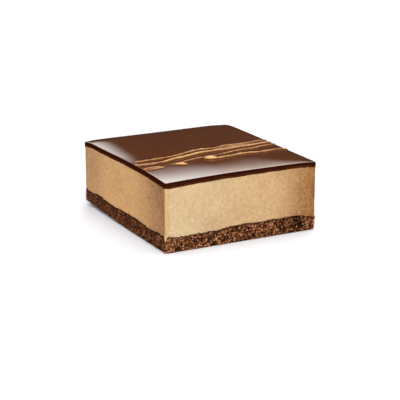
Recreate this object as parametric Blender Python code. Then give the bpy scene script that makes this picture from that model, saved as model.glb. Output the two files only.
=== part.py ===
"""Chocolate cream cake: a cut block of mousse on a chocolate sponge, under a poured chocolate glaze.

Frame: +Z up, origin at the centre of the footprint, on the underside of the sponge.
The front cut face looks along -Y and the left cut face along -X. Lengths are in metres.
"""

import math

import bmesh
import bpy

# Driving dimensions
WIDTH = 0.075  # along X
DEPTH = 0.085  # along Y
RIM_HEIGHT = 0.0306  # underside to the top of the glaze, at the corners
SPONGE = 0.0077  # mean height of the sponge's top
GLAZE = 0.0022  # thickness of the glaze where it shows at the back
GLAZE_FILL = 0.00035  # how much thicker it is at the front left corner
LAYER_GAP = 0.0003  # kept between two layers that lie on each other

# Rounding of the four upright edges, seen from above
FRONT_LEFT_RADIUS = 0.0010
FRONT_RIGHT_RADIUS = 0.0024
BACK_RIGHT_RADIUS = 0.0030
BACK_LEFT_RADIUS = 0.0011

# The top is not level: how far it stands above the corners
DOME = 0.0012  # in the middle
LEFT_BOW = 0.00115  # a third of the way along the left side
FRONT_BOW = 0.0009  # halfway along the front side
FRONT_RISE = 0.00035  # all along the front side
RIGHT_BOW = 0.0003  # halfway along the right side
BACK_RISE, BACK_REACH = 0.0005, 0.009  # towards the back, before it falls away again that far from the edge
RIGHT_FALL, RIGHT_REACH = 0.00055, 0.006  # it falls at the front end of the right side, from that far in

# The glaze droops at the back corners and rises a little in front. Each droop is a place, as shares of half
# the width and half the depth, how far, and over what radius; less than nothing is a rise
GLAZE_DROOPS = (
    (-1, 1, 0.0004, 0.004),
    (1, 1, 0.0003, 0.006),
    (0.85, -1, -0.0004, 0.016),
)
GLAZE_ROLL = 0.0005  # radius of the glaze's upper edge
GLAZE_LIP = 0.00015  # how far the glaze stands out past the mousse

# The sponge's top wanders: height of the wave, its length along X and along Y, and its phase
SPONGE_WAVES = (
    (0.00035, 0.041, 0.033, 2.6),
    (0.00020, -0.019, 0.021, 0.6),
)
# Its droops are given as the glaze's are
SPONGE_DROOPS = (
    (1, -1, 0.0018, 0.007),
    (1, 1, 0.0013, 0.009),
    (-1, -1, 0.0005, 0.008),
    (-0.69, -1, 0.0009, 0.007),
    (0.7, -1, -0.0011, 0.006),
    (-1, 1, -0.0006, 0.006),
)
SPONGE_LIFT, SPONGE_LIFT_REACH = 0.0015, 0.030  # its back left corner does not touch the table
SPONGE_FOOT = 0.0008  # radius of its lower edge

# Its crumbly sides wander in and out: how far, and how often round the cake
SIDE_WANDER = 0.00012
SIDE_WAVES = (7, 13, 23)
WAIST_TURN = 0.4  # the wander at half height is turned by this angle, so that the side leans here and there

# Finishes: colour and roughness
SPONGE_FINISH = ((0.09, 0.042, 0.022), 0.9)
MOUSSE_FINISH = ((0.62, 0.39, 0.2), 0.6)
GLAZE_FINISH = ((0.035, 0.012, 0.007), 0.08)

# Mesh fineness
SIDE_STEPS = 17
CORNER_STEPS = 5
ROUND_STEPS = 4
CAP_SHARES = (0.96, 0.88, 0.76, 0.6, 0.4, 0.2)
SHARP_ANGLE = math.radians(40)


def on_arc(centre, radius, angle):
    return (centre[0] + radius * math.cos(angle), centre[1] + radius * math.sin(angle))


def outline(inset=0.0, wander=None):
    """Points round the footprint, counter-clockwise from the front right corner.

    A positive inset moves them inwards. wander(turn) is how far out the point at that angle goes.
    """
    corners = (
        (1, -1, FRONT_RIGHT_RADIUS),
        (1, 1, BACK_RIGHT_RADIUS),
        (-1, 1, BACK_LEFT_RADIUS),
        (-1, -1, FRONT_LEFT_RADIUS),
    )
    arcs = []
    for quarter, (x_side, y_side, radius) in enumerate(corners):
        centre = (x_side * (WIDTH / 2 - radius), y_side * (DEPTH / 2 - radius))
        angles = [math.pi / 2 * (quarter - 1 + step / CORNER_STEPS) for step in range(CORNER_STEPS + 1)]
        arcs.append([on_arc(centre, radius - inset, angle) for angle in angles])
    points = []
    for arc, following in zip(arcs, arcs[1:] + arcs[:1]):
        points += arc
        for step in range(1, SIDE_STEPS):
            share = step / SIDE_STEPS
            points.append(tuple(a + (b - a) * share for a, b in zip(arc[-1], following[0])))
    if wander is None:
        return points
    moved = []
    for index, (x, y) in enumerate(points):
        grow = 1 + wander(2 * math.pi * index / len(points)) / math.hypot(x, y)
        moved.append((x * grow, y * grow))
    return moved


def arch(share):
    """A parabola over the shares 0 to 1: nothing at both ends, 1 halfway."""
    return 4 * share * (1 - share)


def early_arch(share):
    """Like an arch, but highest a third of the way along."""
    return 27 / 16 * arch(share) * (1 - share)


def bump_at(x, y, x_side, y_side, reach):
    """1 at that share of half the width and half the depth, falling to nothing a few times reach away."""
    away = math.hypot(x - x_side * WIDTH / 2, y - y_side * DEPTH / 2)
    return math.exp(-((away / reach) ** 2))


def droop(x, y, droops):
    return sum(amount * bump_at(x, y, x_side, y_side, reach) for x_side, y_side, amount, reach in droops)


def glaze_top(x, y):
    across = x / WIDTH + 0.5
    along = y / DEPTH + 0.5
    dome = DOME * arch(across) * arch(along)
    left_bow = LEFT_BOW * early_arch(along) * (1 - across) ** 2
    front_bow = FRONT_BOW * arch(across) * (1 - along) ** 2
    right_bow = RIGHT_BOW * arch(along) * across**2
    bows = left_bow + front_bow + right_bow
    near_back = max(0.0, 1 - (DEPTH / 2 - y) / BACK_REACH)
    near_right = max(0.0, 1 - (WIDTH / 2 - x) / RIGHT_REACH)
    rise = FRONT_RISE * (1 - along) ** 2 + BACK_RISE * (along**2 - near_back**2)
    fall = RIGHT_FALL * (1 - along) ** 4 * near_right**2
    return RIM_HEIGHT + dome + bows + rise - fall - droop(x, y, GLAZE_DROOPS)


def glaze_underside(x, y):
    fill = GLAZE_FILL * (0.5 - x / WIDTH) * (0.5 - y / DEPTH) ** 2
    return glaze_top(x, y) - GLAZE - fill


def mousse_top(x, y):
    return glaze_underside(x, y) - LAYER_GAP


def mousse_underside(x, y):
    return sponge_top(x, y) + LAYER_GAP


def sponge_top(x, y):
    waves = sum(
        amount * math.sin(2 * math.pi * (x / length_x + y / length_y) + phase)
        for amount, length_x, length_y, phase in SPONGE_WAVES
    )
    return SPONGE + waves - droop(x, y, SPONGE_DROOPS)


def sponge_underside(x, y):
    return SPONGE_LIFT * bump_at(x, y, -1, 1, SPONGE_LIFT_REACH)


def quarter_round(radius):
    """Steps round an edge from the side to the flat: how far in, and how far short of the flat."""
    for step in range(ROUND_STEPS + 1):
        angle = math.pi / 2 * step / ROUND_STEPS
        yield radius * (1 - math.cos(angle)), radius * (1 - math.sin(angle))


def ring(bm, points, height):
    return [bm.verts.new((x, y, height(x, y))) for x, y in points]


def wall(bm, lower, upper):
    for index, low in enumerate(lower):
        following = (index + 1) % len(lower)
        bm.faces.new((low, lower[following], upper[following], upper[index]))


def cap(bm, edge, height):
    """Closes an edge ring with smaller and smaller rings on the surface height(x, y), down to one point."""
    outer = edge
    for share in CAP_SHARES:
        inner = ring(bm, [(v.co.x * share, v.co.y * share) for v in edge], height)
        wall(bm, outer, inner)
        outer = inner
    middle = bm.verts.new((0, 0, height(0, 0)))
    for index, vertex in enumerate(outer):
        bm.faces.new((vertex, outer[(index + 1) % len(outer)], middle))


def layer(name, rings, underside, top, look):
    """A closed solid from rings of (points, height function), lowest first, with a cap at each end."""
    bm = bmesh.new()
    made = [ring(bm, points, height) for points, height in rings]
    for lower, upper in zip(made, made[1:]):
        wall(bm, lower, upper)
    cap(bm, made[0], underside)
    cap(bm, made[-1], top)
    bmesh.ops.recalc_face_normals(bm, faces=bm.faces)
    mesh = bpy.data.meshes.new(name)
    bm.to_mesh(mesh)
    bm.free()
    mesh.materials.append(finish(name, *look))
    mesh.shade_smooth()
    mesh.set_sharp_from_angle(angle=SHARP_ANGLE)
    bpy.context.scene.collection.objects.link(bpy.data.objects.new(name, mesh))


def finish(name, colour, roughness):
    material = bpy.data.materials.new(name)
    material.use_nodes = True
    shader = material.node_tree.nodes["Principled BSDF"]
    shader.inputs["Base Color"].default_value = (*colour, 1)
    shader.inputs["Roughness"].default_value = roughness
    shader.inputs["Metallic"].default_value = 0
    return material


def sponge_side(turn):
    return SIDE_WANDER * sum(math.sin(wave * turn + phase) for phase, wave in enumerate(SIDE_WAVES))


def sponge_base():
    """The sponge: a rounded lower edge, uneven crumbly sides and a wavy top."""
    rings = []
    for inset, short in reversed(list(quarter_round(SPONGE_FOOT))):
        rings.append((outline(inset, sponge_side), lambda x, y, rise=short: sponge_underside(x, y) + rise))
    rings.append((outline(0, lambda turn: sponge_side(turn + WAIST_TURN)), lambda x, y: sponge_top(x, y) / 2))
    rings.append((outline(0, sponge_side), sponge_top))
    layer("sponge_base", rings, sponge_underside, sponge_top, SPONGE_FINISH)


def mousse():
    """The thick mousse layer, cut straight down."""
    cut = outline()
    rings = [
        (cut, mousse_underside),
        (cut, lambda x, y: (mousse_underside(x, y) + mousse_top(x, y)) / 2),
        (cut, mousse_top),
    ]
    layer("mousse", rings, mousse_underside, mousse_top, MOUSSE_FINISH)


def glaze():
    """The glaze: a thin sheet that follows the domed top, with a rolled upper edge."""
    rings = [
        (outline(), glaze_underside),
        (outline(-GLAZE_LIP), lambda x, y: glaze_underside(x, y) + GLAZE_LIP),
    ]
    for inset, short in quarter_round(GLAZE_ROLL):
        rings.append((outline(inset - GLAZE_LIP), lambda x, y, drop=short: glaze_top(x, y) - drop))
    layer("glaze", rings, glaze_underside, glaze_top, GLAZE_FINISH)


def main():
    for old in list(bpy.data.objects):
        bpy.data.objects.remove(old)
    sponge_base()
    mousse()
    glaze()


main()
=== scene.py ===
"""Chocolate cream cake: a cut block of mousse on a cocoa sponge, under a poured chocolate glaze with caramel.

The file is laid out as an add-on and run as a script. Lengths are in metres unless a name says mm.
The front cut face looks along -Y and the left cut face along -X.
"""

import math
from functools import partial

import bpy
from bpy.props import FloatProperty, FloatVectorProperty, IntProperty, PointerProperty
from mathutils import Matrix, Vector, noise


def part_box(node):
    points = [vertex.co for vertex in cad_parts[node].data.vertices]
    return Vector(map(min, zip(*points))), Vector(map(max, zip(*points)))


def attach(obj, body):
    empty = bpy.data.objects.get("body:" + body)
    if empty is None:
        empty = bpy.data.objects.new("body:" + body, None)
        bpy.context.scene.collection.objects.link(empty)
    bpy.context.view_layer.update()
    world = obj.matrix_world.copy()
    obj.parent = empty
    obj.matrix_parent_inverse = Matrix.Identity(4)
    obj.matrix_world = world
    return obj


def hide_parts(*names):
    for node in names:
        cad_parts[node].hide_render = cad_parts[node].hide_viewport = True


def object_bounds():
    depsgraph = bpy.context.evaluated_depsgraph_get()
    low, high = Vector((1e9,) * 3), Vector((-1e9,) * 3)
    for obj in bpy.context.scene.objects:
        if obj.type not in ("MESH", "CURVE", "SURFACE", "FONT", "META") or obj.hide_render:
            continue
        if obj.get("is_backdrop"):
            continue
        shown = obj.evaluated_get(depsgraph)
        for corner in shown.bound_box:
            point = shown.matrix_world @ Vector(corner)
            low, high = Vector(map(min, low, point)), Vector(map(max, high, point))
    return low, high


bl_info = {
    "name": "Chocolate cream cake",
    "version": (1, 0, 0),
    "blender": (4, 5, 0),
    "location": "3D View > Sidebar > Cake",
    "description": "Builds a cut block of mousse cake with its glaze, caramel and crumbs",
    "category": "Add Mesh",
}

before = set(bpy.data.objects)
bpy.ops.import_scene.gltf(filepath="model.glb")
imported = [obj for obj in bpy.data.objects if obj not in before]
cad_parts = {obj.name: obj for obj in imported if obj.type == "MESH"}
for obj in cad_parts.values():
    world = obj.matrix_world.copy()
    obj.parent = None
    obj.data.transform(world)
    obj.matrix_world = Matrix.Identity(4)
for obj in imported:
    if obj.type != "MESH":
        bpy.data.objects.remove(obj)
CAD_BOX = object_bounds()
MM = 0.001

MOUSSE_LOW, MOUSSE_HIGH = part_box("mousse")
GLAZE_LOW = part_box("glaze")[0]

# The sides that meet at each corner of the footprint, and the size that rounds it
CORNER_RADII = {
    (-1, -1): "front_left_radius",
    (1, -1): "front_right_radius",
    (1, 1): "back_right_radius",
    (-1, 1): "back_left_radius",
}

# Where the glaze and the sponge droop: a place, as shares of half the width and half the depth, how far, and
# over what radius. Less than nothing is a rise
GLAZE_DROOPS = (
    (-1, 1, 0.4 * MM, 4 * MM),
    (1, 1, 0.3 * MM, 6 * MM),
    (0.85, -1, -0.4 * MM, 16 * MM),
)
SPONGE_DROOPS = (
    (1, -1, 1.8 * MM, 7 * MM),
    (1, 1, 1.3 * MM, 9 * MM),
    (-1, -1, 0.5 * MM, 8 * MM),
    (-0.69, -1, 0.9 * MM, 7 * MM),
    (0.7, -1, -1.1 * MM, 6 * MM),
    (-1, 1, -0.6 * MM, 6 * MM),
)
# The sponge's top wanders: height of the wave, its length along X and along Y, and its phase
SPONGE_WAVES = (
    (0.35 * MM, 41 * MM, 33 * MM, 2.6),
    (0.20 * MM, -19 * MM, 21 * MM, 0.6),
)
BACK_REACH = 9 * MM  # how far from its back edge the top begins to fall away
RIGHT_REACH = 6 * MM  # the same for its right edge
SPONGE_LIFT, SPONGE_LIFT_REACH = 1.5 * MM, 30 * MM  # its back left corner stands off the table

# Darker patches on the front face of the mousse: x, height, radius and strength. The first is a painted shadow
# of a chocolate curl lying in front of the cake
PATCHES_AND_SHADOW = (
    (-15.5 * MM, 9.5 * MM, 5 * MM, 0.3),
    (-3 * MM, 14 * MM, 6 * MM, 0.16),
    (5 * MM, 9 * MM, 5 * MM, 0.12),
)

# Where the front of the sponge is drawn paler: x, reach and strength. Less than nothing is darker. The spot at
# the front left corner is painted light, where that corner catches the lamp
PALE_SPOTS = (
    (-37.5 * MM, 6 * MM, 0.85),
    (-22 * MM, 5 * MM, 0.25),
    (26 * MM, 6 * MM, -0.45),
    (36 * MM, 5 * MM, 0.6),
)
LEFT_PALENESS = -0.3  # the same for its left face
LEFT_SMOOTHED = 0.35  # how much the knife has smoothed that face
UNDER_MOUSSE_SHADE, UNDER_MOUSSE_SHADE_REACH = 0.7, 0.95 * MM  # how dark the painted shade is just under the mousse, and how far down it reaches
RAGGED, RAGGED_SIZE = 0.32 * MM, 2.2 * MM  # how far its top edge is torn up and down, and the size of a tear

# Painted light and shade on the mousse, and how it pales low down
SHEEN_FALLOFF, SHADE_FALLOFF = 0.4, 0.14  # how much the painted sheen and light fade, and how much painted shade grows, toward the front face's right end
END_SHADE, END_REACH = 0.35, 1.1 * MM  # how much painted shade darkens that end, and how wide
EDGE_SHADE_FORWARD, EDGE_SHADE_BEHIND, EDGE_SHADE_ON_FRONT = 1.1, 0.6, 0.9  # painted shade at an upright edge: on the front half, on the back half, on the front face
PALE_LOW, PALE_LOW_FRONT = 0.5, 0.3  # how much paler it is low down, and on the front face

RIPPLE, RIPPLE_SIZE = 0.03 * MM, 16 * MM  # the poured top is not quite even

# How fine each skin is
SPONGE_STEP = 0.24 * MM
MOUSSE_STEP = 0.34 * MM
GLAZE_STEP = 0.5 * MM
GLAZE_RINGS = 5  # from its lower edge to its upper one
ROUND_STEPS = 6
SMEAR_LEVELS, SMEAR_AROUND = 30, 12

# Layers overlap a little, out of sight, so that no light passes between them
OVERLAP = 0.25 * MM
HIDDEN_INSET = 0.6 * MM

SEED_SHIFT = 0.173  # how far each step of a seed moves a pattern
TOP_MARK = 0.04  # a face of the glaze with a lower mark is part of its poured top
FLOOR_HALF = 4.0

# Sockets of a colour Mix node
MIX_FACTOR, MIX_A, MIX_B = 0, 6, 7

# Strands of caramel from left to right: x, y, width and height above the glaze, all in mm
STRANDS_MM = (
    # the back strand
    (
        (-36.2, -9.3, 0.9, 0.25), (-35.2, -9.5, 1.3, 0.45), (-30.9, -9.9, 1.3, 0.5), (-26.0, -10.1, 1.2, 0.5),
        (-21.0, -10.0, 1.1, 0.45), (-17.3, -9.8, 1.1, 0.45), (-12.3, -8.2, 1.0, 0.45), (-6.0, -5.8, 1.2, 0.5),
        (-0.4, -4.9, 1.4, 0.55), (3.8, -5.3, 1.1, 0.45), (7.7, -4.6, 1.0, 0.4), (13.4, -2.6, 1.4, 0.5),
        (21.5, -2.2, 1.5, 0.5), (28.0, -0.4, 1.3, 0.5), (33.2, 1.2, 1.1, 0.45), (37.2, 2.1, 0.8, 0.3),
    ),
    # the brightest strand, a flat film where it starts
    (
        (-37.2, -14.2, 1.8, 0.3), (-34.8, -14.8, 2.8, 0.4), (-31.2, -15.7, 2.3, 0.42),
        (-27.6, -15.9, 1.5, 0.5), (-24.4, -15.9, 1.4, 0.6), (-20.7, -14.6, 1.5, 0.65),
        (-15.3, -13.6, 1.6, 0.75), (-9.3, -11.9, 1.6, 0.75), (-3.1, -10.1, 1.6, 0.7), (4.1, -9.6, 1.5, 0.6),
        (10.9, -9.0, 1.4, 0.55), (17.5, -7.5, 1.4, 0.55), (24.6, -6.2, 1.5, 0.65), (31.3, -4.0, 1.4, 0.65),
        (37.2, -2.4, 0.9, 0.4),
    ),
    # the thin middle strand
    (
        (-27.3, -20.9, 0.6, 0.2), (-24.0, -21.1, 0.9, 0.35), (-18.9, -20.5, 1.0, 0.4),
        (-15.7, -19.4, 1.0, 0.4), (-11.4, -18.4, 1.1, 0.45), (-5.5, -17.3, 1.1, 0.45), (0.0, -16.7, 1.0, 0.4),
        (6.1, -15.4, 1.1, 0.45), (11.2, -13.6, 1.1, 0.5), (15.8, -12.5, 1.1, 0.5), (21.4, -11.7, 1.0, 0.45),
        (28.3, -9.3, 1.1, 0.5), (33.6, -7.3, 1.0, 0.4), (37.2, -5.6, 0.7, 0.3),
    ),
    # the front strand, which leaves the larger drop
    (
        (-3.6, -21.6, 0.8, 0.4), (-0.8, -21.6, 1.3, 0.65), (3.3, -20.9, 1.3, 0.6), (7.2, -20.4, 1.4, 0.6),
        (10.6, -19.4, 1.5, 0.65), (14.8, -18.9, 1.5, 0.65), (19.8, -19.0, 1.3, 0.55),
        (25.5, -18.3, 1.3, 0.55), (32.4, -16.5, 1.3, 0.55), (36.0, -16.7, 1.2, 0.5), (37.4, -16.8, 0.9, 0.4),
    ),
    # the tongue at the left side: two strands run together
    ((-37.2, -21.3, 1.5, 0.25), (-35.0, -21.0, 2.1, 0.36), (-31.0, -21.3, 2.0, 0.4), (-28.9, -22.1, 1.2, 0.3)),
    (
        (-37.2, -23.3, 1.3, 0.25), (-34.6, -23.3, 2.1, 0.36), (-31.4, -23.2, 2.0, 0.42),
        (-29.4, -23.2, 1.7, 0.5), (-28.2, -23.0, 0.8, 0.25),
    ),
    # the small drop
    (
        (-22.6, -21.7, 0.6, 0.2), (-21.4, -22.3, 2.2, 0.7), (-19.8, -23.1, 3.1, 0.95),
        (-18.2, -23.9, 2.0, 0.65), (-17.2, -24.3, 0.5, 0.2),
    ),
    # the larger drop
    (
        (-7.0, -19.7, 0.7, 0.3), (-5.8, -20.0, 2.9, 0.85), (-4.0, -20.4, 3.9, 1.15), (-2.1, -21.0, 2.7, 0.8),
        (-0.8, -21.5, 1.1, 0.4),
    ),
    # what ran along the left rim
    (
        (-37.0, -9.4, 0.3, 0.15), (-37.1, -12.4, 0.7, 0.4), (-37.1, -14.3, 0.9, 0.5),
        (-37.1, -16.4, 0.4, 0.2), (-37.1, -19.4, 0.2, 0.1), (-37.1, -21.7, 0.7, 0.4),
        (-37.0, -23.7, 0.4, 0.2),
    ),
    # a film between the two back strands
    (
        (4.0, -7.4, 1.0, 0.12), (9.0, -6.5, 3.2, 0.24), (14.0, -5.6, 4.4, 0.28), (19.0, -4.8, 4.4, 0.28),
        (24.5, -4.0, 3.0, 0.24), (29.0, -2.6, 0.9, 0.12),
    ),
)

# Bright cards of the room: brightness, colour, and soft straight edges. An edge is a share of the angle above
# the horizon, one of the compass angle from +Y to +X, and the degrees at which their sum is dark and bright
CARDS = (
    # the ceiling
    (1.15, "#FFFFFF", ((1, 0, 20, 28),)),
    # the window behind the cake, to the left
    (2.5, "#FFFBF5", ((-0.18, 1, 21.2, 19.5), (0, 1, -15, -5), (1, 0, 5, 10), (1, 0, 19, 14))),
    # two slanting cards behind the cake, to the right
    (4.95, "#FFFEFC", ((1, 0.15, 21.3, 32.1), (0, 1, 50, 40), (0, 1, 15, 20), (1, 0, 60, 45))),
    (3.3, "#FFF5EA", ((1, 1.25, 53.1, 62.3), (0, 1, 42, 36), (0, 1, 15, 20), (1, 0, 60, 45))),
)


def linear(hex_colour):
    """An sRGB hex colour as linear red, green and blue."""
    shares = (int(hex_colour[at : at + 2], 16) / 255 for at in (1, 3, 5))
    return tuple(c / 12.92 if c <= 0.04045 else ((c + 0.055) / 1.055) ** 2.4 for c in shares)


def number(name, description, default, **kind):
    return FloatProperty(name=name, description=description, default=default, **kind)


def length(name, description, default):
    return number(name, description, default, precision=5, unit="LENGTH", subtype="DISTANCE")


def tint(name, description, hex_colour):
    kind = {"min": 0, "max": 1, "subtype": "COLOR"}
    return FloatVectorProperty(name=name, description=description, default=linear(hex_colour), **kind)


class CakeSizes(bpy.types.PropertyGroup):
    """The block's sizes, as the solids have them."""

    width: length("Width", "Block from its left to its right face", MOUSSE_HIGH.x - MOUSSE_LOW.x)
    depth: length("Depth", "Block from its front to its back face", MOUSSE_HIGH.y - MOUSSE_LOW.y)
    rim_height: length("Rim height", "Underside to the top of the glaze at the corners", 30.6 * MM)
    sponge: length("Sponge", "Mean height of the sponge's top", 7.7 * MM)
    glaze: length("Glaze", "Thickness of the glaze at the back", 2.2 * MM)
    glaze_fill: length("Glaze fill", "How much thicker the glaze is at the front left corner", 0.35 * MM)
    glaze_roll: length("Glaze roll", "Radius of the glaze's upper edge", 0.5 * MM)
    glaze_ledge: length("Glaze ledge", "Height over which its lower edge comes out to the lip", 0.15 * MM)
    glaze_lip: length("Glaze lip", "How far the glaze stands out past the mousse", MOUSSE_LOW.x - GLAZE_LOW.x)
    dome: length("Dome", "How far the middle of the top stands above its corners", 1.2 * MM)
    left_bow: length("Left bow", "How far the left side of the top arches up", 1.15 * MM)
    front_bow: length("Front bow", "How far the front side of the top arches up", 0.9 * MM)
    front_rise: length("Front rise", "How far the top rises all along the front", 0.35 * MM)
    right_bow: length("Right bow", "How far the right side of the top arches up", 0.3 * MM)
    back_rise: length("Back rise", "How far the top rises towards the back before it falls away", 0.5 * MM)
    right_fall: length("Right fall", "How far the top falls at the front end of the right side", 0.55 * MM)
    front_left_radius: length("Front left radius", "Rounding of that upright edge", 1.0 * MM)
    front_right_radius: length("Front right radius", "Rounding of that upright edge", 2.4 * MM)
    back_right_radius: length("Back right radius", "Rounding of that upright edge", 3.0 * MM)
    back_left_radius: length("Back left radius", "Rounding of that upright edge", 1.1 * MM)
    foot: length("Foot", "Rounding of the sponge's lower edge", 0.8 * MM)


class SpongeLook(bpy.types.PropertyGroup):
    """The sponge's crumb and colours."""

    grain_size: length("Grain size", "Width of a crumb in the cut sides", 0.85 * MM)
    grain_height: length("Grain height", "How far a crumb stands out", 0.22 * MM)
    pore_spacing: length("Pore spacing", "Mean distance between the larger pores", 1.9 * MM)
    pore_width: length("Pore width", "Width of the largest pores", 1.7 * MM)
    pore_depth: length("Pore depth", "Depth of the largest pores", 0.8 * MM)
    smallest_crumb: length("Smallest crumb", "Radius of the smallest loose crumbs", 0.12 * MM)
    largest_crumb: length("Largest crumb", "Radius of the largest loose crumbs", 0.55 * MM)
    crumbs_per_square_cm: number("Crumbs", "Loose crumbs on each cm2 of side", 45)
    seed: IntProperty(name="Seed", description="Changes where pores and crumbs fall", default=7)
    # partly the crumb's own paler specks, partly a painted highlight where a crumb stands out
    speck_and_highlight: tint("Crumb colour", "The sponge where a crumb stands out", "#C48C68")
    body: tint("Body colour", "The sponge itself", "#6E4020")
    # painted shade: the colour deep in a pore and between crumbs
    pore: tint("Pore colour", "The sponge deep in a pore", "#220E07")
    smoothed: tint("Smoothed colour", "The sponge where the knife has smoothed it", "#5A2C14")
    # painted shade: the dark band just under the mousse's edge
    seam: tint("Seam colour", "The sponge's top edge, moist where the mousse lies on it", "#2C150B")


class MousseLook(bpy.types.PropertyGroup):
    """The mousse's cut faces and colours."""

    bubble_width: length("Bubble width", "Width of the largest bubbles that the knife opened", 0.8 * MM)
    bubble_depth: length("Bubble depth", "Depth of the largest bubbles", 0.2 * MM)
    ridge: length("Ridge", "How far the knife's burr stands out along the front upright edge", 0.35 * MM)
    ridge_width: length("Ridge width", "How far the burr reaches over the front face", 1.3 * MM)
    # painted shade: how far the darker colour reaches in from an upright edge
    edge_shade_reach: length("Tan reach", "How far the deeper colour reaches in from an upright edge", 32 * MM)
    seed: IntProperty(name="Seed", description="Changes where bubbles and streaks fall", default=3)
    # painted sheen and light: the front face drawn paler and less saturated, as a lamp and its sheen make it
    # look
    front_sheen: tint("Fresh colour", "The mousse on the face cut last", "#C6AA81")
    body: tint("Body colour", "The mousse itself", "#CE9C62")
    # the darker mousse colour: painted shade near edges and in creases, and the dark side of the random
    # mottles
    deep: tint("Deep colour", "Mousse near an upright edge", "#966736")
    burr: tint("Burr colour", "The burr along the front upright edge", "#CEA06D")


class GlazeLook(bpy.types.PropertyGroup):
    """The glaze's gloss and colours."""

    roughness: number("Roughness", "Roughness of the poured top", 0.05, min=0, max=1)
    ragged: length("Ragged edge", "How far the glaze's lower edge wanders up and down", 0.2 * MM)
    top: tint("Top colour", "The glaze on top", "#5B321B")
    side: tint("Side colour", "The cut side of the glaze, near the top", "#2E1109")
    foot: tint("Foot colour", "The cut side of the glaze, where mousse has smeared over it", "#47200D")


class CaramelLook(bpy.types.PropertyGroup):
    """The drizzle's colours."""

    spread: number("Spread", "Width of a strand over the width of its path", 1.05, min=0)
    wobble: length("Wobble", "How uneven the strands are", 0.1 * MM)
    # partly a painted highlight on the crown of a strand
    pale: tint("Pale colour", "Caramel on the crown of a strand", "#DCB27A")
    body: tint("Body colour", "The caramel itself", "#B17F4D")
    # partly painted shade beside each strand, over the glaze
    edge: tint("Edge colour", "Thin caramel over the dark glaze at a strand's edge", "#5E2A10")


class StageLook(bpy.types.PropertyGroup):
    """Camera, light, room and floor."""

    azimuth: number("Azimuth", "Camera to the left of the front face", math.radians(27.85), subtype="ANGLE")
    elevation: number("Elevation", "Camera above the table", math.radians(16.55), subtype="ANGLE")
    distance: length("Distance", "Camera to the point it aims at", 652.65 * MM)
    focal_mm: number("Focal length", "Lens, in mm", 122.67, subtype="DISTANCE_CAMERA")
    aim_x: length("Aim X", "Point on the table that the camera aims at", 13.05 * MM)
    aim_y: length("Aim Y", "Point on the table that the camera aims at", 22.08 * MM)
    floor: tint("Floor", "The card that the cake stands on", "#F5F8FE")
    key_watts: number("Key", "Power of the light in front", 0.8, unit="POWER")
    key_size: length("Key size", "Width of the light in front", 200 * MM)
    key_colour: tint("Key colour", "Colour of the light in front", "#FFFCF7")
    dim: number("Dim wall", "Brightness of the room low down, which the glaze mirrors", 0.025)


# Shape rules, the same as the solids follow


def arch(share):
    """A parabola over the shares 0 to 1: nothing at both ends, 1 halfway."""
    return 4 * share * (1 - share)


def early_arch(share):
    """Like an arch, but highest a third of the way along."""
    return 27 / 16 * arch(share) * (1 - share)


def bell(away, reach):
    """1 at no distance, falling to nothing a few times reach away."""
    return math.exp(-((away / reach) ** 2))


def droop(sizes, x, y, droops):
    """How far these droops together lower a surface there."""
    total = 0.0
    for x_side, y_side, amount, reach in droops:
        away = math.hypot(x - x_side * sizes.width / 2, y - y_side * sizes.depth / 2)
        total += amount * bell(away, reach)
    return total


def glaze_top(sizes, x, y):
    across = x / sizes.width + 0.5
    along = y / sizes.depth + 0.5
    dome = sizes.dome * arch(across) * arch(along)
    left_bow = sizes.left_bow * early_arch(along) * (1 - across) ** 2
    front_bow = sizes.front_bow * arch(across) * (1 - along) ** 2
    right_bow = sizes.right_bow * arch(along) * across**2
    bows = left_bow + front_bow + right_bow
    near_back = max(0.0, 1 - (sizes.depth / 2 - y) / BACK_REACH)
    near_right = max(0.0, 1 - (sizes.width / 2 - x) / RIGHT_REACH)
    rise = sizes.front_rise * (1 - along) ** 2 + sizes.back_rise * (along**2 - near_back**2)
    fall = sizes.right_fall * (1 - along) ** 4 * near_right**2
    return sizes.rim_height + dome + bows + rise - fall - droop(sizes, x, y, GLAZE_DROOPS)


def glaze_underside(sizes, x, y):
    fill = sizes.glaze_fill * (0.5 - x / sizes.width) * (0.5 - y / sizes.depth) ** 2
    return glaze_top(sizes, x, y) - sizes.glaze - fill


def sponge_underside(sizes, x, y):
    return droop(sizes, x, y, ((-1, 1, SPONGE_LIFT, SPONGE_LIFT_REACH),))


def crumb_line(sizes, x, y):
    """Height at which the sponge ends and the mousse begins: long waves, with a ragged edge on them."""
    height = sizes.sponge - droop(sizes, x, y, SPONGE_DROOPS)
    for amount, length_x, length_y, phase in SPONGE_WAVES:
        height += amount * math.sin(2 * math.pi * (x / length_x + y / length_y) + phase)
    return height + RAGGED * noise.fractal(Vector((x, y, 0)) / RAGGED_SIZE, 0.8, 2.0, 3)


def on_footprint(sizes, across, along, inset=0.0):
    """The point at these shares of the footprint, -1 to 1 both ways. Its corners are rounded."""
    x_side = -1 if across < 0 else 1
    y_side = -1 if along < 0 else 1
    radius = getattr(sizes, CORNER_RADII[x_side, y_side]) - inset
    half_x, half_y = sizes.width / 2 - inset, sizes.depth / 2 - inset
    x, y = abs(across) * half_x, abs(along) * half_y
    past_x = (x - half_x + radius) / radius
    past_y = (y - half_y + radius) / radius
    if past_x > 0 and past_y > 0:
        x = half_x - radius + radius * past_x * math.sqrt(1 - past_y**2 / 2)
        y = half_y - radius + radius * past_y * math.sqrt(1 - past_x**2 / 2)
    return x_side * x, y_side * y


def grid_counts(sizes, step):
    """Columns and rows of a grid over the footprint."""
    return round(sizes.width / step), round(sizes.depth / step)


def edge_shares(columns, rows):
    """Shares round the edge of a grid, counter-clockwise from its front left corner."""
    front = [(-1 + 2 * i / columns, -1) for i in range(columns)]
    right = [(1, -1 + 2 * j / rows) for j in range(rows)]
    return front + right + [(-x, 1) for x, _ in front] + [(-1, -y) for _, y in right]


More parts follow.
